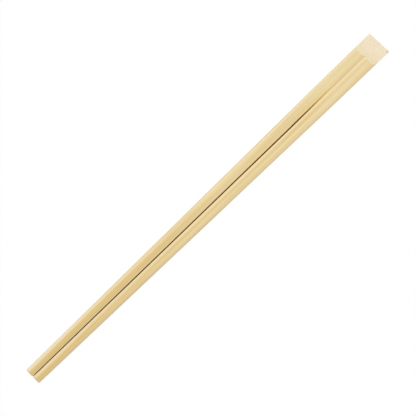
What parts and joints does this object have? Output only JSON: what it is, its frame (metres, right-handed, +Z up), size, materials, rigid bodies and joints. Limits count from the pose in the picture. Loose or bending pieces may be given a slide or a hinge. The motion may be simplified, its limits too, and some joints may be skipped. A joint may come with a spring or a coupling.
{
  "type": "joined disposable chopsticks",
  "caption": "Joined disposable bamboo chopsticks cut from one slat: round-edged tapering sticks with a groove and a saw slit between them, and a slant-cut butt end.",
  "frame": {"origin": "under the middle of the pair's bounding box, on the surface that the flat underside lies on", "axes": "+X along the sticks towards the joined butt end, +Y across the pair, +Z up from the underside"},
  "size_m": [0.24, 0.0132, 0.005],
  "materials": {
    "bamboo": "matte"
  },
  "bodies": {
    "root": {"chopstick_pair": "bamboo"}
  },
  "joints": []
}
